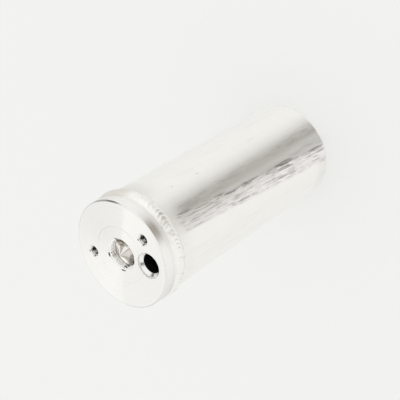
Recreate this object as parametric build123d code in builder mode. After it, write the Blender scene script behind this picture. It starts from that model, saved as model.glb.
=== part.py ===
from build123d import *
import os
from math import radians, sqrt, tan

# Receiver drier: a drawn aluminium can closed by a welded, machined head. Inside stand the
# pick-up tube, the sprung bed of desiccant between its pads and plates, and the strainer.
# The can stands on its closed end. The origin is the centre of that end, +Z runs up the axis
# to the head's face, and +X points at the inlet port. All sizes are in millimetres.

# Can
OVERALL_HEIGHT = 152.0
CAN_DIAMETER = 60.0
CAN_HEIGHT = 140.0
CAN_WALL = 2.0
CAN_FLOOR = 3.0
CAN_OUTER_CORNER = 1.6
CAN_INNER_CORNER = 2.4

# Head blank
HEAD_DIAMETER = 61.4
HEAD_EDGE_CHAMFER = 0.5
FACE_RECESS_RADIUS = 16.0
FACE_RECESS_DEPTH = 0.2
SPIGOT_CLEARANCE = 0.05
SPIGOT_LENGTH = 6.0
SPIGOT_LEAD = 0.8
TUBE_BOSS_RADIUS = 11.0
TUBE_BOSS_DROP = 6.0

# Welded seam between can and head
WELD_DEPTH = 1.4
BEAD_LOW = 136.4
BEAD_HIGH = 144.6
BEAD_RISE = 1.8

# Outlet port in the middle of the head, tapped M18 x 1.5 above a cone-shaped seat
OUTLET_THREAD_RADIUS = 9.0
OUTLET_THREAD_DEPTH = 5.2
OUTLET_MOUTH_CHAMFER = 0.5
OUTLET_SEAT_RADIUS = 8.2
OUTLET_SEAT_ANGLE = 74.0
PASSAGE_RADIUS = 2.5

# Inlet port
INLET_OFFSET = 19.0
INLET_SEAT_RADIUS = 7.2
INLET_SEAT_DEPTH = 1.0
INLET_BORE_RADIUS = 5.5

# Tapped holes for the two pipe blocks' bolts, M6 x 1, as radius and angle from the inlet
BOLT_HOLES = {"inlet": (21.7, 40.8), "outlet": (20.4, 191.9)}
BOLT_THREAD_RADIUS = 3.0
BOLT_MOUTH_CHAMFER = 0.4
BOLT_THREAD_DEPTH = 13.0
DRILL_POINT_ANGLE = 118.0
BORE_OVERRUN = 1.0

# Pick-up tube and the strainer round its foot
TUBE_RADIUS = 6.0
TUBE_WALL = 1.0
TUBE_FOOT = 9.0
TUBE_SOCKET_DEPTH = 8.0
STRAINER_FOOT = 4.5
STRAINER_RADIUS = 8.2
STRAINER_HEIGHT = 10.5
STRAINER_DISC = 1.2
STRAINER_COLLAR = 2.5
STRAINER_RIBS = 4
STRAINER_RIB_WIDTH = 1.6
STRAINER_RIB_DEPTH = 1.0
GAUZE_THICKNESS = 0.3

# Desiccant bed and what holds it
BED_FIT = 0.2
TUBE_FIT = 0.1
LOWER_PLATE_TOP = 20.0
PLATE_THICKNESS = 1.0
PLATE_RADIUS = 27.3
PLATE_COLLAR_HEIGHT = 4.0
UPPER_PLATE_RIM = 3.0
PLATE_HOLE_RADIUS = 1.75
PLATE_HOLE_ROWS = {11.5: 9, 17.2: 14, 22.6: 19}
SCREEN_THICKNESS = 0.4
PAD_THICKNESS = 4.0
BED_DEPTH = 80.0

# Compression spring
SPRING_WIRE_RADIUS = 1.0
SPRING_RADIUS = 25.0
SPRING_TURNS = 4.5

CAN_RADIUS = CAN_DIAMETER / 2
CAN_BORE = CAN_RADIUS - CAN_WALL
HEAD_RADIUS = HEAD_DIAMETER / 2
SPIGOT_RADIUS = CAN_BORE - SPIGOT_CLEARANCE
SPIGOT_END = CAN_HEIGHT - SPIGOT_LENGTH
BOSS_END = SPIGOT_END - TUBE_BOSS_DROP
WELD_ROOT = CAN_RADIUS - WELD_DEPTH
BED_RADIUS = CAN_BORE - BED_FIT
TUBE_HOLE = TUBE_RADIUS + TUBE_FIT

LOWER_SCREEN_FOOT = LOWER_PLATE_TOP
LOWER_PAD_FOOT = LOWER_SCREEN_FOOT + SCREEN_THICKNESS
BED_FOOT = LOWER_PAD_FOOT + PAD_THICKNESS
UPPER_PAD_FOOT = BED_FOOT + BED_DEPTH
UPPER_SCREEN_FOOT = UPPER_PAD_FOOT + PAD_THICKNESS
UPPER_PLATE_FOOT = UPPER_SCREEN_FOOT + SCREEN_THICKNESS
SPRING_FOOT = UPPER_PLATE_FOOT + PLATE_THICKNESS


def cone_depth(radius, flat, angle):
    """Depth of a cone from one radius in to another."""
    return (radius - flat) / tan(radians(angle / 2))


def half_section(plane, points):
    """A closed outline of straight lines, given as distance from the axis and height."""
    with BuildSketch(plane) as outline:
        with BuildLine():
            Polyline(*points, close=True)
        make_face()
    return outline.sketch


def turn(points):
    """Turns a half-section about the can's axis."""
    revolve(half_section(Plane.XZ, points), axis=Axis.Z)


def bore(x, y, steps):
    """Cuts a stepped hole into the face. Its steps are pairs of radius and depth from the face."""
    section = Plane(origin=(x, y, OVERALL_HEIGHT), x_dir=(1, 0, 0), z_dir=(0, -1, 0))
    outline = [(0, BORE_OVERRUN), (steps[0][0], BORE_OVERRUN)]
    outline += [(radius, -depth) for radius, depth in steps]
    if steps[-1][0] > 0:
        outline.append((0, -steps[-1][1]))
    axis = Axis((x, y, 0), (0, 0, 1))
    revolve(half_section(section, outline), axis=axis, mode=Mode.SUBTRACT)


def flow_holes(foot):
    """The rings of holes that are punched through a plate."""
    with BuildSketch(Plane.XY.offset(foot)) as holes:
        for ring_radius, count in PLATE_HOLE_ROWS.items():
            with PolarLocations(ring_radius, count):
                Circle(PLATE_HOLE_RADIUS)
    return holes.sketch


def save(piece, name):
    """Names a finished piece and writes it to its own file."""
    piece.part.label = name
    export_step(piece.part, f"parts/{name}.step")


os.makedirs("parts", exist_ok=True)

# The can is one cup, extruded from a slug, whose rim is melted back by the weld
with BuildPart() as canister:
    turn([
        (0, 0),
        (CAN_RADIUS, 0),
        (CAN_RADIUS, BEAD_LOW),
        (WELD_ROOT, CAN_HEIGHT),
        (CAN_BORE, CAN_HEIGHT),
        (CAN_BORE, CAN_FLOOR),
        (0, CAN_FLOOR),
    ])
    rims = canister.edges().filter_by(GeomType.CIRCLE).group_by(Axis.Z)
    fillet(rims[0], radius=CAN_OUTER_CORNER)
    floor_corner = canister.edges().filter_by_position(Axis.Z, CAN_FLOOR, CAN_FLOOR)
    fillet(floor_corner.filter_by(GeomType.CIRCLE), radius=CAN_INNER_CORNER)
save(canister, "canister")

# The head is turned from one solid blank: rim, spigot and the tube's boss below it
recess_floor = OVERALL_HEIGHT - FACE_RECESS_DEPTH
seat_depth = cone_depth(OUTLET_SEAT_RADIUS, PASSAGE_RADIUS, OUTLET_SEAT_ANGLE)
drill_point = cone_depth(BOLT_THREAD_RADIUS, 0, DRILL_POINT_ANGLE)
socket_top = BOSS_END + TUBE_SOCKET_DEPTH
with BuildPart() as head:
    turn([
        (0, BOSS_END),
        (TUBE_BOSS_RADIUS, BOSS_END),
        (TUBE_BOSS_RADIUS, SPIGOT_END),
        (SPIGOT_RADIUS - SPIGOT_LEAD, SPIGOT_END),
        (SPIGOT_RADIUS, SPIGOT_END + SPIGOT_LEAD),
        (SPIGOT_RADIUS, CAN_HEIGHT),
        (WELD_ROOT, CAN_HEIGHT),
        (HEAD_RADIUS, BEAD_HIGH),
        (HEAD_RADIUS, OVERALL_HEIGHT - HEAD_EDGE_CHAMFER),
        (HEAD_RADIUS - HEAD_EDGE_CHAMFER, OVERALL_HEIGHT),
        (FACE_RECESS_RADIUS + FACE_RECESS_DEPTH, OVERALL_HEIGHT),
        (FACE_RECESS_RADIUS, recess_floor),
        (0, recess_floor),
    ])
    bore(0, 0, [
        (OUTLET_THREAD_RADIUS + OUTLET_MOUTH_CHAMFER, FACE_RECESS_DEPTH),
        (OUTLET_THREAD_RADIUS, FACE_RECESS_DEPTH + OUTLET_MOUTH_CHAMFER),
        (OUTLET_THREAD_RADIUS, OUTLET_THREAD_DEPTH),
        (OUTLET_SEAT_RADIUS, OUTLET_THREAD_DEPTH),
        (PASSAGE_RADIUS, OUTLET_THREAD_DEPTH + seat_depth),
        (PASSAGE_RADIUS, OVERALL_HEIGHT - socket_top),
        (TUBE_RADIUS, OVERALL_HEIGHT - socket_top),
        (TUBE_RADIUS, OVERALL_HEIGHT - BOSS_END),
    ])
    bore(INLET_OFFSET, 0, [
        (INLET_SEAT_RADIUS, 0),
        (INLET_SEAT_RADIUS, INLET_SEAT_DEPTH),
        (INLET_BORE_RADIUS, INLET_SEAT_DEPTH + INLET_SEAT_RADIUS - INLET_BORE_RADIUS),
        (INLET_BORE_RADIUS, OVERALL_HEIGHT - SPIGOT_END),
    ])
    for ring_radius, angle in BOLT_HOLES.values():
        centre = Vector(ring_radius, 0).rotate(Axis.Z, angle)
        bore(centre.X, centre.Y, [
            (BOLT_THREAD_RADIUS + BOLT_MOUTH_CHAMFER, 0),
            (BOLT_THREAD_RADIUS, BOLT_MOUTH_CHAMFER),
            (BOLT_THREAD_RADIUS, BOLT_THREAD_DEPTH),
            (0, BOLT_THREAD_DEPTH + drill_point),
        ])
save(head, "head")

# The weld fills the groove that it melted into both rims, and stands proud of can and head
with BuildPart() as weld_bead:
    with BuildSketch(Plane.XZ):
        with BuildLine():
            crown = (CAN_RADIUS + BEAD_RISE, (BEAD_LOW + BEAD_HIGH) / 2)
            ThreePointArc((CAN_RADIUS, BEAD_LOW), crown, (HEAD_RADIUS, BEAD_HIGH))
            Polyline((HEAD_RADIUS, BEAD_HIGH), (WELD_ROOT, CAN_HEIGHT), (CAN_RADIUS, BEAD_LOW))
        make_face()
    revolve(axis=Axis.Z)
save(weld_bead, "weld_bead")

# The pick-up tube hangs from its socket in the head and ends just above the can's floor
with BuildPart() as pickup_tube:
    with BuildSketch(Plane.XY.offset(TUBE_FOOT)):
        Circle(TUBE_RADIUS)
        Circle(TUBE_RADIUS - TUBE_WALL, mode=Mode.SUBTRACT)
    extrude(amount=socket_top - TUBE_FOOT)
save(pickup_tube, "pickup_tube")

# The strainer's frame clips round the tube's foot: a collar, ribs and a closed bottom disc
strainer_top = STRAINER_FOOT + STRAINER_HEIGHT
rib_height = STRAINER_HEIGHT - STRAINER_DISC - STRAINER_COLLAR
with BuildPart() as strainer_frame:
    with BuildSketch(Plane.XY.offset(STRAINER_FOOT)):
        Circle(STRAINER_RADIUS)
    extrude(amount=STRAINER_DISC)
    with BuildSketch(Plane.XY.offset(strainer_top - STRAINER_COLLAR)):
        Circle(STRAINER_RADIUS)
        Circle(TUBE_RADIUS, mode=Mode.SUBTRACT)
    extrude(amount=STRAINER_COLLAR)
    with BuildSketch(Plane.XY.offset(STRAINER_FOOT + STRAINER_DISC)):
        with PolarLocations(STRAINER_RADIUS - STRAINER_RIB_DEPTH / 2, STRAINER_RIBS):
            Rectangle(STRAINER_RIB_DEPTH, STRAINER_RIB_WIDTH)
    extrude(amount=rib_height)
save(strainer_frame, "strainer_frame")

# Its gauze is a fine sleeve just inside the ribs
with BuildPart() as strainer_gauze:
    with BuildSketch(Plane.XY.offset(STRAINER_FOOT + STRAINER_DISC)):
        Circle(STRAINER_RADIUS - STRAINER_RIB_DEPTH)
        Circle(STRAINER_RADIUS - STRAINER_RIB_DEPTH - GAUZE_THICKNESS, mode=Mode.SUBTRACT)
    extrude(amount=rib_height)
save(strainer_gauze, "strainer_gauze")

# The lower plate is a pressed cup, open side down, whose skirt stands in the can's inner corner
corner_reach = PLATE_RADIUS - (CAN_BORE - CAN_INNER_CORNER)
skirt_foot = CAN_FLOOR + CAN_INNER_CORNER - sqrt(CAN_INNER_CORNER**2 - corner_reach**2)
with BuildPart() as lower_plate:
    turn([
        (TUBE_HOLE, LOWER_PLATE_TOP),
        (PLATE_RADIUS, LOWER_PLATE_TOP),
        (PLATE_RADIUS, skirt_foot),
        (PLATE_RADIUS - PLATE_THICKNESS, skirt_foot),
        (PLATE_RADIUS - PLATE_THICKNESS, LOWER_PLATE_TOP - PLATE_THICKNESS),
        (TUBE_HOLE + PLATE_THICKNESS, LOWER_PLATE_TOP - PLATE_THICKNESS),
        (TUBE_HOLE + PLATE_THICKNESS, LOWER_PLATE_TOP - PLATE_COLLAR_HEIGHT),
        (TUBE_HOLE, LOWER_PLATE_TOP - PLATE_COLLAR_HEIGHT),
    ])
    punched = flow_holes(LOWER_PLATE_TOP - PLATE_THICKNESS)
    extrude(punched, amount=PLATE_THICKNESS, mode=Mode.SUBTRACT)
save(lower_plate, "lower_plate")

# The upper plate is pressed with its rim and its collar turned up, and carries the spring
with BuildPart() as upper_plate:
    turn([
        (TUBE_HOLE, UPPER_PLATE_FOOT),
        (PLATE_RADIUS, UPPER_PLATE_FOOT),
        (PLATE_RADIUS, UPPER_PLATE_FOOT + UPPER_PLATE_RIM),
        (PLATE_RADIUS - PLATE_THICKNESS, UPPER_PLATE_FOOT + UPPER_PLATE_RIM),
        (PLATE_RADIUS - PLATE_THICKNESS, SPRING_FOOT),
        (TUBE_HOLE + PLATE_THICKNESS, SPRING_FOOT),
        (TUBE_HOLE + PLATE_THICKNESS, UPPER_PLATE_FOOT + PLATE_COLLAR_HEIGHT),
        (TUBE_HOLE, UPPER_PLATE_FOOT + PLATE_COLLAR_HEIGHT),
    ])
    extrude(flow_holes(UPPER_PLATE_FOOT), amount=PLATE_THICKNESS, mode=Mode.SUBTRACT)
save(upper_plate, "upper_plate")

# Screens, felt pads and the desiccant lie as one stack between the plates
stack = {
    "lower_screen": (LOWER_SCREEN_FOOT, SCREEN_THICKNESS),
    "lower_pad": (LOWER_PAD_FOOT, PAD_THICKNESS),
    "desiccant_bed": (BED_FOOT, BED_DEPTH),
    "upper_pad": (UPPER_PAD_FOOT, PAD_THICKNESS),
    "upper_screen": (UPPER_SCREEN_FOOT, SCREEN_THICKNESS),
}
for name, (foot, thickness) in stack.items():
    with BuildPart() as layer:
        with BuildSketch(Plane.XY.offset(foot)):
            Circle(BED_RADIUS)
            Circle(TUBE_HOLE, mode=Mode.SUBTRACT)
        extrude(amount=thickness)
    save(layer, name)

# The spring presses the stack down from the spigot's end. Its wire touches both at its ends.
coil_height = SPIGOT_END - SPRING_FOOT - 2 * SPRING_WIRE_RADIUS
with BuildPart() as spring:
    with BuildLine():
        coil = Helix(
            pitch=coil_height / SPRING_TURNS,
            height=coil_height,
            radius=SPRING_RADIUS,
            center=(0, 0, SPRING_FOOT + SPRING_WIRE_RADIUS),
        )
    with BuildSketch(Plane(origin=coil @ 0, z_dir=coil % 0)):
        Circle(SPRING_WIRE_RADIUS)
    sweep(is_frenet=True)
save(spring, "spring")
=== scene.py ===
import math
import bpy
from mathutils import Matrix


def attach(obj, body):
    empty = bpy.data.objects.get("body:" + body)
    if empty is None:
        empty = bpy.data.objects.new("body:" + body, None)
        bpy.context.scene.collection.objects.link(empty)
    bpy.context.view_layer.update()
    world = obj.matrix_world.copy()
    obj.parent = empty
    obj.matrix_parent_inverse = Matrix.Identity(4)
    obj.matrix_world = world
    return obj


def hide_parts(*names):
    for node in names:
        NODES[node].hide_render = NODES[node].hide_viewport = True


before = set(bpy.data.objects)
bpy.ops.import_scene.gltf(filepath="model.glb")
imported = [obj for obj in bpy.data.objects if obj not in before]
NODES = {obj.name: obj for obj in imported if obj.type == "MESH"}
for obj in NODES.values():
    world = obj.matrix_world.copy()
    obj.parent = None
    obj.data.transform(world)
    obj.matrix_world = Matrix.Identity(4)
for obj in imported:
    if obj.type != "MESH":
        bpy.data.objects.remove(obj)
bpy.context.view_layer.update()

from types import SimpleNamespace

import bpy
from mathutils import Vector

bl_info = {
    "name": "Receiver Drier",
    "version": (1, 0, 0),
    "blender": (4, 5, 0),
    "location": "View3D > Sidebar > Drier",
    "description": "Dresses a welded aluminium receiver drier with its weld ripples, threads and finishes",
    "category": "Object",
}

MM = 0.001

# Places and sizes on the part, in metres
FACE_HEIGHT = 0.152
RECESS_DEPTH = 0.0002
CAN_RADIUS = 0.03
CAN_HEIGHT = 0.14
HEAD_RADIUS = 0.0307
OUTLET_WALL = 0.009
OUTLET_THREAD_DEPTH = 0.0044
SEAT_RADIUS = 0.0082
INLET_X = 0.019
BOLT_WALL = 0.003
BOLT_THREAD_DEPTH = 0.0118
MOUTH_GAP = 0.0001
BEAD_LOW = 0.1364
BEAD_HIGH = 0.1446
BEAD_CROWN = 0.0314
BEAD_ROOT = 0.0286
SCREEN_PITCH = 0.0012
GAUZE_RADIUS = 0.0072
GAUZE_WIRES = 90

# The two tapped holes, as radius and angle from the inlet
BOLT_HOLES = {"inlet": (0.0217, 40.8), "outlet": (0.0204, 191.9)}

# How far the galled band and its lower edge turn round the can, in degrees for each millimetre of height,
# and the width of a degree of the can's wall in millimetres
BAND_SLANT = 0.16
EDGE_SLANT = 0.115
DEGREE_WIDTH = 0.52

# Drag marks on the can: middle angle on the slant and half width in degrees, middle height and half length in
# millimetres, and darkness
SCUFFS = (
    (22.6, 3.2, 41.0, 12.5, 0.95),
    (17.6, 2.0, 41.5, 11.0, 0.95),
    (9.2, 2.0, 45.5, 8.0, 0.6),
    (19.3, 2.1, 90.0, 8.0, 0.8),
    (21.4, 1.1, 71.0, 10.0, 0.6),
    (21.6, 3.0, 9.0, 11.0, 0.75),
    (17.2, 2.4, 6.0, 6.5, 0.5),
    (4.6, 0.8, 121.0, 6.0, 0.45),
    (8.0, 0.8, 112.0, 7.0, 0.4),
    (11.0, 0.9, 121.0, 7.0, 0.35),
    (14.0, 0.9, 104.0, 8.0, 0.35),
    (19.4, 1.4, 113.0, 9.0, 0.55),
    (20.6, 1.3, 126.0, 5.5, 0.5),
    (28.6, 1.2, 122.0, 8.0, 0.35),
    (28.2, 1.0, 109.0, 9.0, 0.35),
)

# Painted highlight and shade on the face, and painted reflections on its rim and on the head's wall, round
# the can: angle in degrees and tone
FACE_TONES = (
    (-180, 0.93), (-155, 0.97), (-113, 0.99), (-98, 0.97), (-86, 0.93), (-28, 0.92), (5, 0.93), (30, 0.945),
    (52, 0.975), (72, 0.99), (86, 0.91), (109, 0.89), (135, 0.88), (158, 0.9), (180, 0.93),
)
RIM_TONES = (
    (-180, 0.82), (-50, 0.82), (-5, 0.93), (45, 1.0), (84, 1.0), (96, 0.5), (110, 0.45), (126, 0.8),
    (180, 0.82),
)
WALL_TONES = (
    (-180, 0.8), (-75, 0.84), (-35, 0.84), (5, 1.0), (85, 1.0), (112, 0.86), (122, 0.76), (180, 0.82),
)

# Painted reflections on the middle port's seat, as tones in sectors about a point on its edge:
# that point's angle, and then angle in degrees and tone
FAN_POINT = 219
FAN_TONES = (
    (-180, 0.9), (-46, 1.0), (-29, 1.0), (-22, 0.45), (-13, 0.45), (-6, 0.68), (20, 0.74), (34, 0.76),
    (39, 0.55), (46, 0.5), (52, 0.95), (76, 1.0), (83, 0.55), (94, 0.45), (99, 0.95), (103, 1.0),
    (109, 0.55), (140, 0.6), (180, 0.9),
)

# Where the middle port's thread is dull, so that only the rest of it mirrors the room: angle in degrees and
# share
THREAD_FROST = (
    (-180, 1.0), (-172, 1.0), (-166, 0.0), (-150, 0.0), (-143, 1.0), (-99, 1.0), (-93, 0.0), (-79, 0.0),
    (-73, 1.0), (60, 1.0), (90, 0.0), (118, 0.0), (126, 1.0), (180, 1.0),
)

# The side of the room that the bare wall mirrors: direction in degrees and tone
DARK_SIDE = (
    (-180, 0.91), (-60, 0.94), (0, 1.0), (8, 1.0), (18, 0.84), (28, 0.4), (36, 0.12), (44, 0.04), (53, 0.02),
    (64, 0.26), (76, 0.72), (90, 0.9), (105, 1.0), (150, 0.95), (180, 0.91),
)

# Small places in the room that chamfers, threads and the weld mirror: direction, elevation and radius in
# degrees, and tone
ROOM_PLACES = (
    (80, 8, 34, 1.12), (142, 27, 12, 0.08), (160, 43, 9, 0.08), (-9, 48, 11, 0.08), (-40, 74, 11, 0.05),
    (227, -27, 9, 0.08), (233, -6, 7, 0.08), (246, 9, 7, 0.08),
)

# Colours that no setting holds
WHITE_ROOM = (1.0, 0.997, 0.985, 1.0)
DARK_ROOM = (0.39, 0.375, 0.345, 1.0)
# Painted highlight that lifts the whole face
FACE_LIFT = (1.06, 1.06, 1.06, 1.0)
TORN_METAL = (0.85, 0.815, 0.81, 1.0)
BRIGHT_FLECK = (0.97, 0.95, 0.945, 1.0)
# Painted brownish reflection on the head's wall near the face
BROWN_REFLECTION = (0.7, 0.58, 0.51, 1.0)
WELD_BURN = (0.7, 0.66, 0.5, 1.0)
# Painted shade over part of the weld
WELD_SHADE = (0.6, 0.58, 0.5, 1.0)
# Warm tint of the painted reflections on the middle port's seat
WARM_SEAT_REFLECTION = (0.9, 0.86, 0.8, 1.0)
# Painted highlight: near-white colour of the middle port's thread and of the bright gaps in the bolt holes
THREAD_HIGHLIGHT = (0.995, 0.99, 0.975, 1.0)
# Painted shade inside the bolt holes
DIM_HOLE = (0.36, 0.35, 0.34, 1.0)
# Painted shade inside the inlet's bore
DARK_BORE = (0.05, 0.05, 0.048, 1.0)
ZINC_TINT = (0.66, 0.64, 0.54, 1.0)


# Modelling helpers


def deselect():
    """Leaves edit mode and clears the selection."""
    if bpy.context.object and bpy.context.object.mode != "OBJECT":
        bpy.ops.object.mode_set(mode="OBJECT")
    bpy.ops.object.select_all(action="DESELECT")


def pick(piece):
    """Makes one object the selected and active one."""
    deselect()
    piece.select_set(True)
    bpy.context.view_layer.objects.active = piece
    return piece


def outline(name, points):
    """An open or closed wire through points given as radius and height, in the plane y = 0."""
    deselect()
    first = Vector((points[0][0], 0, points[0][1]))
    bpy.ops.mesh.primitive_plane_add(size=MM, location=first)
    piece = bpy.context.object
    piece.name = piece.data.name = name
    bpy.ops.object.transform_apply()
    bpy.ops.object.mode_set(mode="EDIT")
    bpy.ops.mesh.select_all(action="SELECT")
    bpy.ops.mesh.merge(type="CENTER")
    for (r0, z0), (r1, z1) in zip(points, points[1:]):
        step = (r1 - r0, 0, z1 - z0)
        bpy.ops.mesh.extrude_region_move(TRANSFORM_OT_translate={"value": step})
    if points[0] == points[-1]:
        bpy.ops.mesh.select_all(action="SELECT")
        bpy.ops.mesh.remove_doubles(threshold=1e-7)
    bpy.ops.object.mode_set(mode="OBJECT")
    return piece


def heal(piece):
    """Merges doubles and turns every face outwards."""
    pick(piece)
    bpy.ops.object.mode_set(mode="EDIT")
    bpy.ops.mesh.select_all(action="SELECT")
    bpy.ops.mesh.remove_doubles(threshold=1e-6)
    bpy.ops.mesh.normals_make_consistent(inside=False)
    bpy.ops.object.mode_set(mode="OBJECT")


def lathe(name, points, steps):
    """Spins an outline once round the can's axis."""
    piece = outline(name, points)
    pick(piece)
    bpy.ops.object.mode_set(mode="EDIT")
    bpy.ops.mesh.select_all(action="SELECT")
    bpy.ops.mesh.spin(steps=steps, angle=math.tau, center=(0, 0, 0), axis=(0, 0, 1))
    bpy.ops.object.mode_set(mode="OBJECT")
    heal(piece)
    return piece


def apply_modifier(piece, kind, **settings):
    """Adds one modifier and applies it at once."""
    pick(piece)
    modifier = piece.modifiers.new(kind.title(), kind)
    for key, value in settings.items():
        setattr(modifier, key, value)
    bpy.ops.object.modifier_apply(modifier=modifier.name)


def swell(piece, rise, height):
    """Moves each vertex along its normal by height times rise, a function of its place."""
    group = piece.vertex_groups.new(name="rise")
    for vertex in piece.data.vertices:
        group.add([vertex.index], min(max(rise(vertex.co), 0.0), 1.0), "REPLACE")
    apply_modifier(piece, "DISPLACE", strength=height, mid_level=0, vertex_group="rise")
    piece.vertex_groups.clear()


def smooth(piece, degrees=30):
    """Shades a piece smooth, apart from its sharp edges."""
    pick(piece)
    bpy.ops.object.shade_smooth_by_angle(angle=math.radians(degrees))


def finish(piece, material, replaced=None):
    """Gives a piece its material and its body, and hides the node that it stands for."""
    piece.data.materials.clear()
    piece.data.materials.append(material)
    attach(piece, "root")
    if replaced:
        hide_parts(replaced)
    return piece


def dress(node, material):
    """Puts a material on a node that keeps its own shape."""
    for place in NODES[node].material_slots:
        place.material = material


def polar(radius, degrees, height=0.0):
    """A place given by its radius and angle round the can's axis."""
    turn = math.radians(degrees)
    return Vector((radius * math.cos(turn), radius * math.sin(turn), height))


def scatter(seed):
    """A number from 0 to 1 that looks random and is the same in each run."""
    return (math.sin(seed * 12.9898 + 4.1414) * 43758.5453) % 1.0


# Material helpers


def plug(tree, node, sockets):
    """Gives a node's inputs a value or a link each."""
    for key, value in sockets.items():
        if isinstance(value, bpy.types.NodeSocket):
            tree.links.new(value, node.inputs[key])
        else:
            node.inputs[key].default_value = value
    return node


def spaced(values):
    """The same values, with spaces for the underscores in their names."""
    return {key.replace("_", " "): value for key, value in values.items()}


def add(tree, kind, sockets=None, **settings):
    """Adds a node with its settings, and gives its inputs a value or a link each."""
    made = tree.nodes.new(kind)
    for key, value in settings.items():
        setattr(made, key, value)
    return plug(tree, made, sockets or {})


def math_node(tree, operation, *values, clamp=False):
    """A Math node's result."""
    sockets = dict(enumerate(values))
    return add(tree, "ShaderNodeMath", sockets, operation=operation, use_clamp=clamp).outputs[0]


def times(tree, first, *others):
    """The product of masks."""
    for other in others:
        first = math_node(tree, "MULTIPLY", first, other)
    return first


def most(tree, first, *others):
    """The strongest of masks."""
    for other in others:
        first = math_node(tree, "MAXIMUM", first, other)
    return first


def plus(tree, value, *layers):
    """A value with layers added, given as mask and strength."""
    for mask, strength in layers:
        value = math_node(tree, "MULTIPLY_ADD", mask, strength, value)
    return value


def ramp(tree, value, low, high, to_low=0.0, to_high=1.0):
    """A smooth step of a value between two limits, which falls where the first limit is the higher one."""
    sockets = {"Value": value, 1: low, 2: high, 3: to_low, 4: to_high}
    return add(tree, "ShaderNodeMapRange", sockets, interpolation_type="SMOOTHSTEP").outputs[0]


def window(tree, value, start, full, still, gone):
    """A mask that is full between two values and fades on both sides."""
    return times(tree, ramp(tree, value, start, full), ramp(tree, value, gone, still))


def seam(tree, value, middle, full, gone):
    """A mask round one value, by the distance from it."""
    away = math_node(tree, "ABSOLUTE", math_node(tree, "SUBTRACT", value, middle))
    return ramp(tree, away, gone, full)


def tones(tree, value, stops):
    """Grey tones along a value, given as pairs of value and tone."""
    low, high = stops[0][0], stops[-1][0]
    sockets = {"Value": value, 1: low, 2: high}
    made = add(tree, "ShaderNodeValToRGB", {0: add(tree, "ShaderNodeMapRange", sockets).outputs[0]})
    elements = made.color_ramp.elements
    made.color_ramp.interpolation = "EASE"
    for index, (place, tone) in enumerate(stops):
        at = (place - low) / (high - low)
        element = elements[index] if index < len(elements) else elements.new(at)
        element.position = at
        element.color = (tone, tone, tone, 1.0)
    return made.outputs[0]


def mix_colour(tree, factor, first, second, blend="MIX"):
    """Two colours mixed by a mask."""
    made = add(tree, "ShaderNodeMix", {0: factor, 6: first, 7: second}, data_type="RGBA", blend_type=blend)
    return made.outputs[2]


def coats(tree, base, *layers):
    """A colour with others laid over it, given as mask, strength and colour."""
    for mask, strength, colour in layers:
        base = mix_colour(tree, times(tree, mask, strength), base, colour)
    return base


def toned(tree, mask, base, angle, stops, lift=(1.0, 1.0, 1.0, 1.0)):
    """A colour that is multiplied, inside a mask, by a lift and by the tones round the can."""
    lifted = mix_colour(tree, 1.0, base, lift, "MULTIPLY")
    shaded = mix_colour(tree, 1.0, lifted, tones(tree, angle, stops), "MULTIPLY")
    return mix_colour(tree, mask, base, shaded)


def shade(colour, share):
    """A colour made darker or lighter by a factor."""
    return tuple(min(channel * share, 1.0) for channel in colour[:3]) + (1.0,)


def noise(tree, vector, scale, detail=2.0, rough=0.5):
    """Noise over a vector."""
    sockets = {"Vector": vector, "Scale": scale, "Detail": detail, "Roughness": rough}
    return add(tree, "ShaderNodeTexNoise", sockets).outputs["Fac"]


def vector_node(tree, operation, first, second):
    """A Vector Math node's result for two vectors."""
    return add(tree, "ShaderNodeVectorMath", {0: first, 1: second}, operation=operation).outputs[0]


def blank(name):
    """A new material's tree, its shader and its Object coordinates."""
    material = bpy.data.materials.new(name)
    material.use_nodes = True
    tree = material.node_tree
    place = tree.nodes.new("ShaderNodeTexCoord").outputs["Object"]
    return material, tree, tree.nodes["Principled BSDF"], place


def surface(tree, shader, **values):
    """Gives the shader's inputs their values. Underscores in the names stand for spaces."""
    plug(tree, shader, spaced(values))


def bump(tree, shader, *layers):
    """Stacks bumps, given as height, strength and depth in metres, and joins them to the shader."""
    normal = None
    for height, strength, depth in layers:
        sockets = {"Height": height, "Strength": strength, "Distance": depth}
        if normal:
            sockets["Normal"] = normal
        normal = add(tree, "ShaderNodeBump", sockets).outputs[0]
    tree.links.new(normal, shader.inputs["Normal"])


# Effects that several materials share


def new_group(name, inputs, outputs):
    """An empty node group with its sockets, given as name and default."""
    group = bpy.data.node_groups.new(name, "ShaderNodeTree")
    for label, value in inputs:
        kind = "NodeSocketVector" if value is None else "NodeSocketFloat"
        socket = group.interface.new_socket(label, in_out="INPUT", socket_type=kind)
        if value is not None:
            socket.default_value = value
    for label in outputs:
        group.interface.new_socket(label, in_out="OUTPUT", socket_type="NodeSocketFloat")
    inner, outer = group.nodes.new("NodeGroupInput").outputs, group.nodes.new("NodeGroupOutput")
    return group, inner, outer


def make_can_place():
    """Where a point lies on the can: angle in degrees, distance from the axis and height in millimetres."""
    group, inner, outer = new_group("CanPlace", [("Vector", None)], ["Angle", "Distance", "Height"])
    x, y, z = add(group, "ShaderNodeSeparateXYZ", {0: inner["Vector"]}).outputs
    across = math_node(group, "ADD", math_node(group, "POWER", x, 2.0), math_node(group, "POWER", y, 2.0))
    plug(group, outer, {
        "Angle": math_node(group, "DEGREES", math_node(group, "ARCTAN2", y, x)),
        "Distance": times(group, math_node(group, "SQRT", across), 1000.0),
        "Height": times(group, z, 1000.0),
    })


def make_drawn_streaks():
    """Fine streaks along the can's axis, as drawing leaves them."""
    inputs = [("Vector", None), ("Across", 900.0), ("Along", 25.0), ("Contrast", 1.0)]
    group, inner, outer = new_group("DrawnStreaks", inputs, ["Streaks"])
    scale = add(group, "ShaderNodeCombineXYZ", {0: inner["Across"], 1: inner["Across"], 2: inner["Along"]})
    fine = noise(group, vector_node(group, "MULTIPLY", inner["Vector"], scale.outputs[0]), 1.0, 3.0, 0.6)
    centred = math_node(group, "SUBTRACT", fine, 0.5)
    strong = math_node(group, "MULTIPLY_ADD", centred, inner["Contrast"], 0.5, clamp=True)
    plug(group, outer, {"Streaks": strong})


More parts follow.
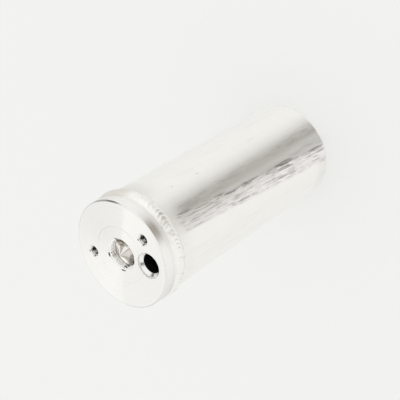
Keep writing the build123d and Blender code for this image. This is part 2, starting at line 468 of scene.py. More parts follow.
def make_wall_patch():
    """A soft-edged patch on the can's wall, by angle and height."""
    inputs = [
        ("Angle", 0.0), ("Height", 0.0), ("Middle Angle", 0.0), ("Half Angle", 10.0),
        ("Middle Height", 70.0), ("Half Height", 10.0), ("Softness", 0.4),
    ]
    group, inner, outer = new_group("WallPatch", inputs, ["Mask"])
    offsets = []
    for label in ("Angle", "Height"):
        away = math_node(group, "SUBTRACT", inner[label], inner[f"Middle {label}"])
        away = math_node(group, "DIVIDE", away, inner[f"Half {label}"])
        offsets.append(math_node(group, "POWER", math_node(group, "ABSOLUTE", away), 2.0))
    reach = math_node(group, "SQRT", math_node(group, "ADD", *offsets))
    start = math_node(group, "SUBTRACT", 1.0, inner["Softness"])
    plug(group, outer, {"Mask": ramp(group, reach, start, 1.0, 1.0, 0.0)})


def make_turned_marks():
    """Tool marks of a lathe: rings on a face, lines round a wall."""
    inputs = [("Distance", 0.0), ("Height", 0.0), ("Spacing", 0.25)]
    group, inner, outer = new_group("TurnedMarks", inputs, ["Fine", "Broad"])
    place = math_node(group, "ADD", inner["Distance"], inner["Height"])
    for label, spacing in (("Fine", 1.0), ("Broad", 9.0)):
        tool = math_node(group, "DIVIDE", place, times(group, inner["Spacing"], spacing))
        sockets = {"W": tool, "Scale": 1.0, "Detail": 2.0}
        marks = add(group, "ShaderNodeTexNoise", sockets, noise_dimensions="1D")
        plug(group, outer, {label: marks.outputs["Fac"]})


def make_mottle():
    """Soft mottling, as handling and weld heat leave it."""
    group, inner, outer = new_group("Mottle", [("Vector", None), ("Size", 5.0)], ["Cloud", "Grain"])
    cells = math_node(group, "DIVIDE", 1000.0, inner["Size"])
    plug(group, outer, {
        "Cloud": noise(group, inner["Vector"], cells, 3.0, 0.55),
        "Grain": noise(group, inner["Vector"], times(group, cells, 12.0), 2.0, 0.6),
    })


def make_groups():
    """Builds all the shared effects."""
    for make in (make_can_place, make_drawn_streaks, make_wall_patch, make_turned_marks, make_mottle):
        make()


def use_group(tree, name, **values):
    """A group placed in a material, as its outputs. Underscores in the names stand for spaces."""
    return add(tree, "ShaderNodeGroup", spaced(values), node_tree=bpy.data.node_groups[name]).outputs


def can_place(tree, place, axis=None):
    """Angle, distance and height of a point round the can's axis, or round another upright one."""
    if axis is not None:
        place = vector_node(tree, "SUBTRACT", place, axis)
    where = use_group(tree, "CanPlace", Vector=place)
    return where["Angle"], where["Distance"], where["Height"]


def streaks(tree, vector, across, along, contrast):
    """Streaks along a vector's third part."""
    return use_group(tree, "DrawnStreaks", Vector=vector, Across=across, Along=along, Contrast=contrast)[0]


def mottle(tree, place, size):
    """Clouds of a size in millimetres, and the finer grain in them."""
    return use_group(tree, "Mottle", Vector=place, Size=size)


def wall_patch(tree, angle, height, middle, half, level, reach, softness):
    """A soft-edged patch: middle and half width in degrees, middle and half height in millimetres."""
    return use_group(
        tree, "WallPatch", Angle=angle, Height=height, Middle_Angle=middle, Half_Angle=half,
        Middle_Height=level, Half_Height=reach, Softness=softness,
    )[0]


# Materials of the can


def galling(tree, angle, height):
    """Masks of the side on which the can was dragged: pale torn metal in a slanting band, with dark marks,
    and painted shade beside the band and on two small dented spots.
    """
    skew = math_node(tree, "MULTIPLY_ADD", height, -BAND_SLANT, angle)
    path = add(tree, "ShaderNodeCombineXYZ", {0: times(tree, skew, DEGREE_WIDTH), 2: height}).outputs[0]
    strokes = streaks(tree, path, 0.95, 0.1, 2.4)
    smears = streaks(tree, path, 0.42, 0.07, 2.6)
    scratches = streaks(tree, path, 1.3, 0.06, 2.8)

    # The band, and the torn metal and bright flecks in it
    below_weld = ramp(tree, height, 134.0, 129.0)
    band = times(tree, window(tree, skew, 1.0, 6.0, 20.0, 22.5), below_weld)
    torn = times(
        tree, band, ramp(tree, smears, 0.3, 0.7, 0.3, 1.0), ramp(tree, strokes, 0.4, 0.7),
        ramp(tree, scratches, 0.25, 0.6, 0.5, 1.15),
    )
    flecks = times(tree, band, ramp(tree, strokes, 0.4, 0.15))

    # Broken dark lines along both edges of the band
    upper = times(
        tree, seam(tree, skew, 20.4, 0.8, 3.0), ramp(tree, smears, 0.3, 0.65),
        ramp(tree, height, 45.0, 70.0, 0.4, 1.0),
    )
    low = math_node(tree, "MULTIPLY_ADD", height, -EDGE_SLANT, angle)
    lower = times(tree, seam(tree, low, 10.4, 0.3, 1.5), ramp(tree, smears, 0.4, 0.65, 0.0, 0.8))
    edges = times(tree, most(tree, upper, lower), below_weld)
    dark = times(tree, edges, ramp(tree, strokes, 0.25, 0.55), 0.85)

    # The drag marks, ragged at their ends and split into scratches
    marks = depth = 0.0
    for middle, half, level, reach, darkness in SCUFFS:
        mark = wall_patch(tree, skew, height, middle, half, level, reach, 0.75)
        marks = most(tree, marks, mark)
        depth = most(tree, depth, times(tree, math_node(tree, "SQRT", mark), darkness))
    ragged = ramp(tree, math_node(tree, "MULTIPLY_ADD", strokes, 0.8, marks), 0.5, 0.85)
    dark = most(tree, dark, times(tree, depth, ragged))
    dark = times(tree, dark, ramp(tree, scratches, 0.2, 0.5, 0.4, 1.0))

    # Painted shade beside the band, where the mirrored dark band is darkest, and painted shade on two small
    # dented spots
    band_edge_shade = times(
        tree, ramp(tree, skew, 20.0, 22.5), ramp(tree, angle, 38.0, 29.0),
        ramp(tree, smears, 0.2, 0.8, 0.7, 1.0),
    )
    dent_shade = most(
        tree, wall_patch(tree, skew, height, 52.1, 1.3, 119.7, 0.9, 0.7),
        wall_patch(tree, skew, height, 53.3, 0.9, 100.0, 1.8, 0.7),
    )
    gouges = times(tree, math_node(tree, "SUBTRACT", 1.0, strokes), most(tree, band, edges, marks))
    return SimpleNamespace(
        smears=smears, band=band, torn=torn, flecks=flecks, dark=dark, band_edge_shade=band_edge_shade, dent_shade=dent_shade, gouges=gouges,
    )


def can_material(colour, scuffed):
    """Drawn aluminium with fine streaks along it, the galled band down one side, and painted shade of the
    dark band it mirrors, by the weld and at the foot.
    """
    material, tree, shader, place = blank("drawn_aluminium")
    angle, _, height = can_place(tree, place)
    fine = streaks(tree, place, 1500.0, 16.0, 1.6)
    broad = streaks(tree, place, 330.0, 24.0, 2.0)
    cloud = mottle(tree, place, 9.0)["Cloud"]
    lumps = mottle(tree, place, 20.0)["Cloud"]
    gall = galling(tree, angle, height)

    # Painted shade: the dark band that the wall mirrors, and darker places by the weld and at the foot; and
    # the drawing lines
    dark_band_shade = times(
        tree, seam(tree, angle, 46.0, 1.0, 9.0), ramp(tree, gall.smears, 0.3, 0.75, 0.2, 1.0),
        ramp(tree, lumps, 0.38, 0.6, 0.25, 1.0), ramp(tree, height, 134.0, 118.0),
    )
    shade_by_weld = times(tree, ramp(tree, height, 122.0, 136.0), ramp(tree, angle, 66.0, 84.0))
    shade_at_foot = times(tree, ramp(tree, height, 14.0, 3.0), ramp(tree, angle, 18.0, 6.0))
    end_shade = times(tree, most(tree, shade_by_weld, shade_at_foot), ramp(tree, gall.smears, 0.1, 0.9, 0.7, 1.0))
    lines = times(tree, ramp(tree, broad, 0.55, 0.85), ramp(tree, fine, 0.4, 0.7))

    base = mix_colour(tree, ramp(tree, cloud, 0.3, 0.7), shade(colour, 0.985), colour)
    base = coats(
        tree, base,
        (lines, 0.2, shade(colour, 0.7)),
        (dark_band_shade, 0.5, shade(colour, 0.6)),
        (end_shade, 0.25, shade(colour, 0.55)),
        # Painted shade beside the band, then the pale torn metal and bright flecks in it
        (gall.band_edge_shade, 1.0, shade(colour, 0.6)),
        (gall.band, 0.6, TORN_METAL),
        (gall.flecks, 0.6, BRIGHT_FLECK),
    )
    # Wear of the torn metal and dark marks, and painted shade on the two dented spots
    wear = most(tree, times(tree, gall.torn, 0.42), gall.dark, times(tree, gall.dent_shade, 0.3))
    near_weld = ramp(tree, height, 124.0, 137.0)
    rough = plus(tree, 0.26, (fine, 0.1), (gall.band, 0.1), (gall.dark, 0.1), (near_weld, 0.22))
    surface(tree, shader, Base_Color=mix_colour(tree, wear, base, scuffed), Roughness=rough, Metallic=1.0)
    bump(
        tree, shader,
        (noise(tree, place, 45.0, 1.0), 0.25, 0.0006),
        (gall.smears, 0.3, 0.00009),
        (fine, 0.25, 0.00004),
        (gall.gouges, 0.7, 0.00012),
    )
    return material


# Materials of the head


def head_outside(tree, angle, distance, height, base, colour):
    """Painted highlight and shade on the face, painted reflections and shade on the wall and sharp rim, and
    painted shade on the recess's step, with masks of the last three.
    """
    # Painted highlight and shade across the face, by angle round the can
    face = times(tree, ramp(tree, height, 151.55, 151.75), ramp(tree, distance, 30.2, 30.0))
    base = toned(tree, face, base, angle, FACE_TONES, FACE_LIFT)

    # Painted reflections round the head's wall, by angle
    wall = times(tree, ramp(tree, distance, 30.4, 30.6), ramp(tree, height, 151.5, 151.3))
    base = toned(tree, wall, base, angle, WALL_TONES)
    # A painted brownish reflection on the wall near the face, and a weld burn by the bead
    wall_reflection = times(tree, wall_patch(tree, angle, height, 40.0, 17.0, 150.0, 4.6, 0.8), wall)
    burn = wall_patch(tree, angle, height, 101.0, 13.0, 145.2, 1.4, 0.7)
    base = coats(tree, base, (wall_reflection, 0.3, BROWN_REFLECTION), (burn, 0.5, WELD_BURN))

    # Painted reflection and shade along the sharp rim, by angle
    rim = times(tree, ramp(tree, distance, 29.7, 30.15), ramp(tree, height, 151.25, 151.45))
    base = toned(tree, rim, base, angle, RIM_TONES)
    # Painted shade along the far side of the recess's step
    step = times(tree, seam(tree, distance, 16.05, 0.1, 0.45), ramp(tree, height, 151.6, 151.75))
    step_shade_side = window(tree, angle, 20.0, 70.0, 140.0, 180.0)
    base = coats(tree, base, (times(tree, step, step_shade_side), 1.0, shade(colour, 0.86)))
    return base, SimpleNamespace(wall=wall, rim=rim, step=step)


def head_holes(tree, place, distance, height, base):
    """The middle port's seat with painted reflections, painted shade in the bores and painted highlight on
    the tapped walls, with their masks.
    """
    # Painted reflections in sectors across the middle port's seat
    seat = times(tree, ramp(tree, distance, 8.4, 8.25), ramp(tree, height, 146.95, 146.8))
    fan_angle = can_place(tree, place, polar(SEAT_RADIUS, FAN_POINT))[0]
    seat_reflection = mix_colour(tree, 1.0, WARM_SEAT_REFLECTION, tones(tree, fan_angle, FAN_TONES), "MULTIPLY")

    # Painted shade deep in the inlet's bore
    inlet_distance, inlet_height = can_place(tree, place, (INLET_X, 0.0, 0.0))[1:]
    bore_shade = times(tree, ramp(tree, inlet_distance, 5.9, 5.6), ramp(tree, inlet_height, 149.5, 149.0))
    inlet_seat = window(tree, inlet_distance, 6.9, 7.1, 7.8, 8.1)

    # Painted shade fills each bolt hole below its mouth, apart from one gap in its thread with a painted
    # highlight
    holes = thread_glints = 0.0
    for radius, turn in BOLT_HOLES.values():
        hole_angle, hole_distance = can_place(tree, place, polar(radius, turn))[:2]
        inside = ramp(tree, hole_distance, 3.3, 3.1)
        thread_glints = most(tree, thread_glints, times(tree, seam(tree, hole_angle, -124.0, 10.0, 26.0), inside))
        holes = most(tree, holes, inside)
    lifted = math_node(tree, "MULTIPLY_ADD", thread_glints, 2.6, height)
    hole_shade = times(tree, holes, ramp(tree, lifted, 150.9, 150.0))
    thread_glints = times(tree, thread_glints, math_node(tree, "SUBTRACT", 1.0, hole_shade))

    # The middle port's thread and the bolt holes' gaps are lifted to near white as painted highlight
    threaded = times(tree, ramp(tree, distance, 9.6, 9.2), ramp(tree, height, 146.85, 146.95))
    base = coats(
        tree, base, (seat, 1.0, seat_reflection), (most(tree, threaded, thread_glints), 1.0, THREAD_HIGHLIGHT), (hole_shade, 1.0, DIM_HOLE),
        (bore_shade, 1.0, DARK_BORE),
    )
    masks = SimpleNamespace(
        seat=seat, bore_shade=bore_shade, inlet_seat=inlet_seat, thread_glints=thread_glints, threaded=threaded,
        polished=most(tree, seat, threaded, hole_shade),
    )
    return base, masks


def head_material(colour, spacing, gloss):
    """Turned aluminium with fine rings, with painted highlight, reflections and shade on its face, wall, rim
    and holes.
    """
    material, tree, shader, place = blank("turned_aluminium")
    angle, distance, height = can_place(tree, place)
    rings = use_group(tree, "TurnedMarks", Distance=distance, Height=height, Spacing=spacing)
    base = mix_colour(tree, ramp(tree, rings["Broad"], 0.35, 0.65), shade(colour, 0.988), colour)
    base = coats(tree, base, (mottle(tree, place, 12.0)["Cloud"], 0.05, shade(colour, 0.8)))
    base, outside = head_outside(tree, angle, distance, height, base, colour)
    base, holes = head_holes(tree, place, distance, height, base)

    # Hazy places show white metal instead of what they would mirror
    heated = times(tree, outside.wall, ramp(tree, height, 148.5, 145.5))
    lit_rim = times(tree, outside.rim, window(tree, angle, -40.0, -15.0, 70.0, 86.0))
    frosted = times(tree, holes.threaded, tones(tree, angle, THREAD_FROST))
    hazy = most(tree, outside.step, holes.inlet_seat, lit_rim, frosted)
    rough = plus(tree, gloss, (rings["Fine"], 0.1), (heated, 0.25))
    rough = times(tree, rough, plus(tree, 1.0, (holes.polished, -0.72)))
    surface(
        tree, shader, Base_Color=base, Roughness=plus(tree, rough, (hazy, 0.45), (holes.bore_shade, 0.3)),
        Metallic=plus(tree, 1.0, (most(tree, hazy, holes.thread_glints), -0.85)),
    )
    bump(tree, shader, (rings["Broad"], 0.12, 0.00003), (rings["Fine"], 0.12, 0.000015))
    return material


# Materials of the weld and of the pieces inside


def weld_material(colour):
    """Bright frozen aluminium with a faint grain, and painted shade over part of it."""
    material, tree, shader, place = blank("weld_aluminium")
    cloud, grain = mottle(tree, place, 3.0)
    base = mix_colour(tree, ramp(tree, cloud, 0.3, 0.7), shade(colour, 0.94), colour)
    angle = can_place(tree, place)[0]
    # Painted shade over the weld from 84 to 150 degrees round the can
    base = coats(tree, base, (window(tree, angle, 84.0, 100.0, 128.0, 150.0), 0.5, WELD_SHADE))
    surface(tree, shader, Base_Color=base, Roughness=plus(tree, 0.28, (cloud, 0.2)), Metallic=1.0)
    bump(tree, shader, (noise(tree, place, 420.0, 1.0), 0.6, 0.0004), (grain, 0.2, 0.00004))
    return material


def drawn_material(name, colour, gloss):
    """Drawn tube or wire, with streaks along it."""
    material, tree, shader, place = blank(name)
    lines = streaks(tree, place, 2200.0, 30.0, 1.6)
    cloud = mottle(tree, place, 6.0)["Cloud"]
    base = coats(tree, colour, (lines, 0.3, shade(colour, 0.75)))
    surface(tree, shader, Base_Color=base, Roughness=plus(tree, gloss, (cloud, 0.12)), Metallic=1.0)
    bump(tree, shader, (lines, 0.2, 0.00003))
    return material


def woven_material(name, colour, pitch, rolled):
    """Square wire mesh with open holes, flat or rolled into a sleeve of a radius."""
    material, tree, shader, place = blank(name)
    if rolled:
        angle, _, height = can_place(tree, place)
        lanes = (times(tree, angle, math.radians(rolled)), times(tree, height, MM))
    else:
        lanes = add(tree, "ShaderNodeSeparateXYZ", {0: place}).outputs[:2]
    waves = []
    for lane in lanes:
        wave = math_node(tree, "SINE", times(tree, lane, math.pi / pitch))
        waves.append(math_node(tree, "ABSOLUTE", wave))
    nearest = math_node(tree, "MINIMUM", *waves)
    # Painted shade darkens each wire towards its edges
    surface(
        tree, shader, Base_Color=mix_colour(tree, ramp(tree, nearest, 0.1, 0.55), colour, shade(colour, 0.6)),
        Roughness=plus(tree, 0.28, (mottle(tree, place, 6.0)["Cloud"], 0.2)), Metallic=1.0,
        Alpha=ramp(tree, nearest, 0.64, 0.6),
    )
    bump(tree, shader, (math_node(tree, "SUBTRACT", 1.0, nearest), 0.8, 0.0002))
    return material


def plated_material(colour):
    """Zinc plate with its spangle and faint passivation tint."""
    material, tree, shader, place = blank("zinc_plate")
    flakes = add(tree, "ShaderNodeTexVoronoi", {"Vector": place, "Scale": 900.0})
    grey = add(tree, "ShaderNodeSeparateColor", {0: flakes.outputs["Color"]}).outputs[0]
    cloud, grain = mottle(tree, place, 8.0)
    base = mix_colour(tree, ramp(tree, cloud, 0.35, 0.65), colour, ZINC_TINT)
    base = coats(tree, base, (grey, 0.3, shade(colour, 0.7)))
    surface(tree, shader, Base_Color=base, Roughness=plus(tree, 0.28, (grey, 0.16)), Metallic=1.0)
    bump(tree, shader, (grain, 0.15, 0.00003))
    return material


def felt_material(colour):
    """Pressed felt: short tangled fibres in a pale mat."""
    material, tree, shader, place = blank("pressed_felt")
    bent = add(tree, "ShaderNodeTexNoise", {"Vector": place, "Scale": 260.0}).outputs["Color"]
    wander = add(tree, "ShaderNodeVectorMath", {0: bent, 3: 0.004}, operation="SCALE").outputs[0]
    path = vector_node(tree, "ADD", place, wander)
    fibres = 0.5
    for across, along in ((2600.0, 260.0), (260.0, 2600.0)):
        laid = add(tree, "ShaderNodeMapping", {"Vector": path, "Scale": (across, along, across)}).outputs[0]
        fibres = most(tree, fibres, noise(tree, laid, 1.0, 2.0))
    light = ramp(tree, fibres, 0.5, 0.75)
    base = mix_colour(tree, light, shade(colour, 0.72), colour)
    surface(tree, shader, Base_Color=base, Roughness=0.92, Sheen_Weight=0.3)
    bump(tree, shader, (light, 0.7, 0.00025))
    return material


def bead_material(colour):
    """Molecular sieve: matt tan beads with slight differences from one to the next, and painted shade between
    them.
    """
    material, tree, shader, place = blank("sieve_beads")
    cells = add(tree, "ShaderNodeTexVoronoi", {"Vector": place, "Scale": 420.0}).outputs
    grey = add(tree, "ShaderNodeSeparateColor", {0: cells["Color"]}).outputs[0]
    own = mix_colour(tree, grey, shade(colour, 0.84), shade(colour, 1.1))
    # Painted shade in the gaps between the beads
    base = mix_colour(tree, ramp(tree, cells["Distance"], 0.35, 0.7), own, shade(colour, 0.35))
    surface(tree, shader, Base_Color=base, Roughness=0.9)
    bump(tree, shader, (math_node(tree, "SUBTRACT", 1.0, cells["Distance"]), 0.9, 0.0009))
    return material


def nylon_material(colour):
    """Natural nylon, slightly cloudy and waxy."""
    material, tree, shader, place = blank("natural_nylon")
    cloud, grain = mottle(tree, place, 4.0)
    surface(
        tree, shader, Base_Color=mix_colour(tree, cloud, shade(colour, 0.93), colour),
        Roughness=plus(tree, 0.36, (grain, 0.15)), Subsurface_Weight=0.15, Subsurface_Scale=0.001,
    )
    bump(tree, shader, (grain, 0.12, 0.00004))
    return material


# Settings


def length(name, description, default, **limits):
    """A length setting in metres."""
    return bpy.props.FloatProperty(
        name=name, description=description, default=default, unit="LENGTH", precision=5, **limits,
    )


def tint(name, description, default):
    """A colour setting."""
    return bpy.props.FloatVectorProperty(
        name=name, description=description, default=default, subtype="COLOR", size=4, min=0.0, max=1.0,
    )


class DrierSizes(bpy.types.PropertyGroup):
    """Sizes of the details that the finished part adds to the solids."""

    ripples: bpy.props.IntProperty(
        name="Weld ripples", description="Ripples round the weld", default=84, min=8, max=160,
    )
    ripple_height: length("Ripple height", "How far the weld's ripples stand out", 0.0004, min=0.0)
    outlet_pitch: length("Outlet pitch", "Pitch of the middle port's thread", 0.0015, min=0.0002)
    outlet_crest: length("Outlet crest", "Crest radius of the middle port's thread", 0.00812, min=0.001)
    bolt_pitch: length("Bolt pitch", "Pitch of the bolt holes' threads", 0.001, min=0.0002)
    bolt_crest: length("Bolt crest", "Crest radius of the bolt holes' threads", 0.00246, min=0.001)


class DrierFinishes(bpy.types.PropertyGroup):
    """Colours of the part's materials."""

    can: tint("Can", "Drawn aluminium of the can", (0.915, 0.91, 0.88, 1.0))
    scuffed: tint("Scuffs", "Galled aluminium of the drag marks", (0.235, 0.21, 0.205, 1.0))
    head: tint("Head", "Turned aluminium of the head", (0.905, 0.9, 0.875, 1.0))
    weld: tint("Weld", "Frozen aluminium of the weld", (0.945, 0.935, 0.9, 1.0))
    tube: tint("Tube", "Aluminium of the pick-up tube", (0.8, 0.8, 0.79, 1.0))
    zinc: tint("Plates", "Zinc-plated steel of the two plates", (0.62, 0.63, 0.64, 1.0))
    screen: tint("Screens", "Steel wire of the screens and the gauze", (0.5, 0.51, 0.52, 1.0))
    spring: tint("Spring", "Oiled spring steel", (0.36, 0.36, 0.37, 1.0))
    felt: tint("Pads", "Felt of the two pads", (0.78, 0.75, 0.66, 1.0))
    sieve: tint("Desiccant", "Molecular sieve beads", (0.56, 0.41, 0.27, 1.0))
    nylon: tint("Strainer", "Nylon of the strainer's frame", (0.84, 0.82, 0.74, 1.0))


class DrierStudio(bpy.types.PropertyGroup):
    """The floor, the light and the camera."""

    floor: tint("Floor", "Plain pale floor", (0.36, 0.362, 0.352, 1.0))
    floor_glow: tint("Floor glow", "Pale floor lit from below", (0.535, 0.54, 0.528, 1.0))
    sky: bpy.props.FloatProperty(
        name="Room light", description="Strength of the soft light all round", default=1.0, min=0.0,
    )
    softbox: bpy.props.FloatProperty(
        name="Softbox", description="Power of the large lamp", default=0.15, min=0.0, subtype="POWER",
    )
    lens: bpy.props.FloatProperty(
        name="Lens", description="Focal length", default=81.85, min=10.0, unit="CAMERA",
    )
    camera_place: bpy.props.FloatVectorProperty(
        name="Camera place", description="Where the camera stands", default=(0.291723, 0.238837, 0.432621),
        subtype="TRANSLATION", unit="LENGTH",
    )
    camera_turn: bpy.props.FloatVectorProperty(
        name="Camera turn", description="How the camera is turned",
        default=(math.radians(-29.8543), math.radians(38.5366), math.radians(-3.7)), subtype="EULER",
    )


# Operators


class DRIER_OT_stage(bpy.types.Operator):
    """Lay the floor, light the room and place the camera"""

    bl_idname = "drier.stage"
    bl_label = "Stage"
    bl_options = {"REGISTER", "UNDO"}

    def execute(self, context):
        studio = context.scene.drier_studio
        deselect()
        bpy.ops.mesh.primitive_plane_add(size=8.0, location=(0, 0, 0))
        floor = context.object
        floor.name = "floor"
        material, tree, shader, place = blank("pale_floor")
        cloud = noise(tree, place, 1.5, 1.0)
        surface(
            tree, shader, Base_Color=mix_colour(tree, cloud, shade(studio.floor, 0.995), studio.floor),
            Emission_Color=studio.floor_glow, Emission_Strength=1.0, Roughness=1.0, Specular_IOR_Level=0.0,
        )
        floor.data.materials.append(material)
        floor.visible_glossy = False
        self.light_room(context, studio)
        self.place_camera(context, studio)
        context.scene.view_settings.view_transform = "Standard"
        return {"FINISHED"}

    def light_room(self, context, studio):
        """A pale room whose lower part has one soft dark side, which the bare metal mirrors."""
        world = context.scene.world or bpy.data.worlds.new("room")
        context.scene.world = world
        world.use_nodes = True
        tree = world.node_tree
        tree.nodes.clear()
        ray = tree.nodes.new("ShaderNodeTexCoord").outputs["Generated"]
        x, y, z = add(tree, "ShaderNodeSeparateXYZ", {0: ray}).outputs
        turn = math_node(tree, "DEGREES", math_node(tree, "ARCTAN2", y, x))
        side = mix_colour(tree, tones(tree, turn, DARK_SIDE), DARK_ROOM, WHITE_ROOM)
        below = times(tree, ramp(tree, z, -0.05, -0.4), ramp(tree, z, -0.97, -0.8))
        seen = mix_colour(tree, below, WHITE_ROOM, side)
        for direction, elevation, radius, tone in ROOM_PLACES:
            rise = math.radians(elevation)
            aim = polar(math.cos(rise), direction, math.sin(rise))
            sockets = {0: ray, 1: aim}
            close = add(tree, "ShaderNodeVectorMath", sockets, operation="DOT_PRODUCT").outputs["Value"]
            edges = [math.cos(math.radians(share * radius)) for share in (1.25, 0.75)]
            seen = mix_colour(tree, ramp(tree, close, *edges), seen, (tone, tone, 0.98 * tone, 1.0))
        glossy = tree.nodes.new("ShaderNodeLightPath").outputs["Is Glossy Ray"]
        colour = mix_colour(tree, glossy, WHITE_ROOM, seen)
        background = add(tree, "ShaderNodeBackground", {"Color": colour, "Strength": studio.sky})
        output = tree.nodes.new("ShaderNodeOutputWorld")
        tree.links.new(background.outputs[0], output.inputs["Surface"])

        deselect()
        bpy.ops.object.light_add(type="AREA", location=(-0.75, -0.55, 1.25))
        lamp = context.object
        lamp.name = "softbox"
        lamp.data.shape = "DISK"
        lamp.data.size = 0.9
        lamp.data.energy = studio.softbox
        lamp.visible_glossy = False
        aim = Vector((0, 0, 0.12)) - lamp.location
        lamp.rotation_euler = aim.to_track_quat("-Z", "Y").to_euler()

    def place_camera(self, context, studio):
        """The camera looks down on the head, rolled as the photograph is."""
        deselect()
        bpy.ops.object.camera_add(location=studio.camera_place, rotation=studio.camera_turn)
        camera = context.object
        camera.name = "camera"
        camera.data.lens = studio.lens
        camera.data.sensor_width = 36.0
        camera.data.clip_start = 0.01
        context.scene.camera = camera


class DRIER_OT_can(bpy.types.Operator):
    """Finish the can as drawn aluminium with its streaks and drag marks"""

    bl_idname = "drier.can"
    bl_label = "Can"
    bl_options = {"REGISTER", "UNDO"}

    def execute(self, context):
        finishes = context.scene.drier_finishes
        dress("canister", can_material(finishes.can, finishes.scuffed))
        return {"FINISHED"}


class DRIER_OT_head(bpy.types.Operator):
    """Finish the head as turned aluminium and cut the threads of its three tapped holes"""

    bl_idname = "drier.head"
    bl_label = "Head and threads"
    bl_options = {"REGISTER", "UNDO"}

    def execute(self, context):
        sizes = context.scene.drier_sizes
        metal = head_material(context.scene.drier_finishes.head, 0.25, 0.2)
        dress("head", metal)
        mouth = FACE_HEIGHT - MOUTH_GAP
        thread = self.cut_thread(
            "outlet_thread", OUTLET_WALL, sizes.outlet_crest, sizes.outlet_pitch, mouth - RECESS_DEPTH,
            OUTLET_THREAD_DEPTH, 96,
        )
        finish(thread, metal)
        for name, (radius, angle) in BOLT_HOLES.items():
            thread = self.cut_thread(
                f"{name}_bolt_thread", BOLT_WALL, sizes.bolt_crest, sizes.bolt_pitch, mouth,
                BOLT_THREAD_DEPTH, 40,
            )
            pick(thread)
            bpy.ops.object.mode_set(mode="EDIT")
            bpy.ops.mesh.select_all(action="SELECT")
            bpy.ops.transform.translate(value=polar(radius, angle))
            bpy.ops.object.mode_set(mode="OBJECT")
            finish(thread, metal)
        return {"FINISHED"}

    def cut_thread(self, name, wall, crest, pitch, top, depth, steps):
        """A right-hand ridge that winds down the wall of a hole, with its ends run out into the wall."""
        root, tip = 0.46 * pitch, 0.07 * pitch
        turns = depth / pitch
        foot = top - root - depth
        sunk = wall + 0.00012
        ridge = [(sunk, foot - root), (crest, foot - tip), (crest, foot + tip), (sunk, foot + root)]
        piece = outline(name, ridge + ridge[:1])
        pick(piece)
        bpy.ops.object.mode_set(mode="EDIT")
        bpy.ops.mesh.select_all(action="SELECT")
        bpy.ops.mesh.edge_face_add()
        bpy.ops.object.mode_set(mode="OBJECT")
        apply_modifier(
            piece, "SCREW", angle=math.tau * turns, screw_offset=depth, steps=int(steps * turns),
            render_steps=int(steps * turns), use_smooth_shade=False,
        )
        heal(piece)
        reach = wall - crest

        def run_out(place):
            rise = (place.z - foot) / depth
            end = min(rise, 1 - rise) * turns
            inside = (wall - math.hypot(place.x, place.y)) / reach
            return 0.0 if inside < 0.5 else max(0.0, 1 - (end + 0.1) / 0.5)

        swell(piece, run_out, -(reach + 0.0001))
        smooth(piece, 35)
        return piece


class DRIER_OT_weld(bpy.types.Operator):
    """Lay the weld bead round the seam, with its overlapping ripples"""

    bl_idname = "drier.weld"
    bl_label = "Weld bead"
    bl_options = {"REGISTER", "UNDO"}

    def execute(self, context):
        sizes = context.scene.drier_sizes
        middle = (BEAD_LOW + BEAD_HIGH) / 2
        half = (BEAD_HIGH - BEAD_LOW) / 2
        rows = 22
        section = []
        for row in range(rows + 1):
            across = row / rows * 2 - 1
            edge = CAN_RADIUS + (HEAD_RADIUS - CAN_RADIUS) * (across + 1) / 2
            rise = (BEAD_CROWN - edge) * (1 - across * across) ** 1.2
            section.append((edge + rise, middle + across * half))
        section += [(BEAD_ROOT, CAN_HEIGHT), section[0]]
        bead = lathe("weld_ripples", section, 960)

        def ripple(place):
            across = (place.z - middle) / half
            if math.hypot(place.x, place.y) < CAN_RADIUS - 0.0001 or abs(across) > 1.02:
                return 0.0
            angle = math.atan2(place.y, place.x)
            lap = angle / math.tau * sizes.ripples
            lap += 0.35 * math.sin(3 * angle) + 0.22 * math.sin(7 * angle + 1.3) + 0.12 * math.sin(19 * angle)
            lap += 1.1 * abs(across) ** 1.6 - 0.25 * across
            number = math.floor(lap)
            phase = lap - number
            scale = 0.35 + 0.65 * scatter(number)
            crest = phase ** 0.7 if phase < 0.82 else (1 - phase) / 0.18
            lean = 1.0 if across < 0.1 else max(0.22, 1.0 - 1.1 * (across - 0.1))
            return crest * scale * lean * max(0.0, 1 - across ** 4)

        swell(bead, ripple, sizes.ripple_height)
        smooth(bead, 50)
        finish(bead, weld_material(context.scene.drier_finishes.weld), "weld_bead")
        return {"FINISHED"}


class DRIER_OT_tube(bpy.types.Operator):
    """Finish the pick-up tube and the strainer round its foot"""

    bl_idname = "drier.tube"
    bl_label = "Pick-up tube and strainer"
    bl_options = {"REGISTER", "UNDO"}

    def execute(self, context):
        finishes = context.scene.drier_finishes
        dress("pickup_tube", drawn_material("drawn_tube", finishes.tube, 0.3))
        dress("strainer_frame", nylon_material(finishes.nylon))
        pitch = math.tau * GAUZE_RADIUS / GAUZE_WIRES
        dress("strainer_gauze", woven_material("fine_gauze", finishes.screen, pitch, GAUZE_RADIUS))
        return {"FINISHED"}


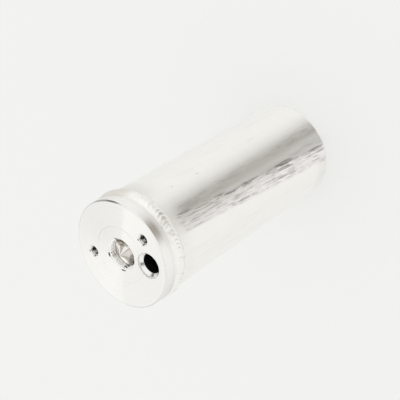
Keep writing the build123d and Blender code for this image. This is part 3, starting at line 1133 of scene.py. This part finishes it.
class DRIER_OT_bed(bpy.types.Operator):
    """Finish the desiccant bed, its pads and its screens"""

    bl_idname = "drier.bed"
    bl_label = "Desiccant bed"
    bl_options = {"REGISTER", "UNDO"}

    def execute(self, context):
        finishes = context.scene.drier_finishes
        dress("desiccant_bed", bead_material(finishes.sieve))
        felt = felt_material(finishes.felt)
        wire = woven_material("screen_wire", finishes.screen, SCREEN_PITCH, 0.0)
        for level in ("lower", "upper"):
            dress(f"{level}_pad", felt)
            dress(f"{level}_screen", wire)
        return {"FINISHED"}


class DRIER_OT_plates(bpy.types.Operator):
    """Finish the two perforated plates and the spring that presses on them"""

    bl_idname = "drier.plates"
    bl_label = "Plates and spring"
    bl_options = {"REGISTER", "UNDO"}

    def execute(self, context):
        finishes = context.scene.drier_finishes
        zinc = plated_material(finishes.zinc)
        dress("lower_plate", zinc)
        dress("upper_plate", zinc)
        dress("spring", drawn_material("spring_wire", finishes.spring, 0.25))
        return {"FINISHED"}


OPERATORS = (
    DRIER_OT_stage, DRIER_OT_can, DRIER_OT_head, DRIER_OT_weld, DRIER_OT_tube, DRIER_OT_bed, DRIER_OT_plates,
)


class DRIER_PT_panel(bpy.types.Panel):
    """The part's operators and settings"""

    bl_label = "Receiver Drier"
    bl_idname = "DRIER_PT_panel"
    bl_space_type = "VIEW_3D"
    bl_region_type = "UI"
    bl_category = "Drier"

    def draw(self, context):
        for operator in OPERATORS:
            self.layout.operator(operator.bl_idname)
        for settings in (context.scene.drier_sizes, context.scene.drier_finishes, context.scene.drier_studio):
            box = self.layout.box()
            for key in settings.__annotations__:
                box.prop(settings, key)


CLASSES = (DrierSizes, DrierFinishes, DrierStudio) + OPERATORS + (DRIER_PT_panel,)


def register():
    for item in CLASSES:
        bpy.utils.register_class(item)
    bpy.types.Scene.drier_sizes = bpy.props.PointerProperty(type=DrierSizes)
    bpy.types.Scene.drier_finishes = bpy.props.PointerProperty(type=DrierFinishes)
    bpy.types.Scene.drier_studio = bpy.props.PointerProperty(type=DrierStudio)


def unregister():
    del bpy.types.Scene.drier_studio
    del bpy.types.Scene.drier_finishes
    del bpy.types.Scene.drier_sizes
    for item in reversed(CLASSES):
        bpy.utils.unregister_class(item)


def main():
    register()
    make_groups()
    bpy.ops.drier.stage()
    bpy.ops.drier.can()
    bpy.ops.drier.head()
    bpy.ops.drier.weld()
    bpy.ops.drier.tube()
    bpy.ops.drier.bed()
    bpy.ops.drier.plates()


if __name__ == "__main__":
    main()
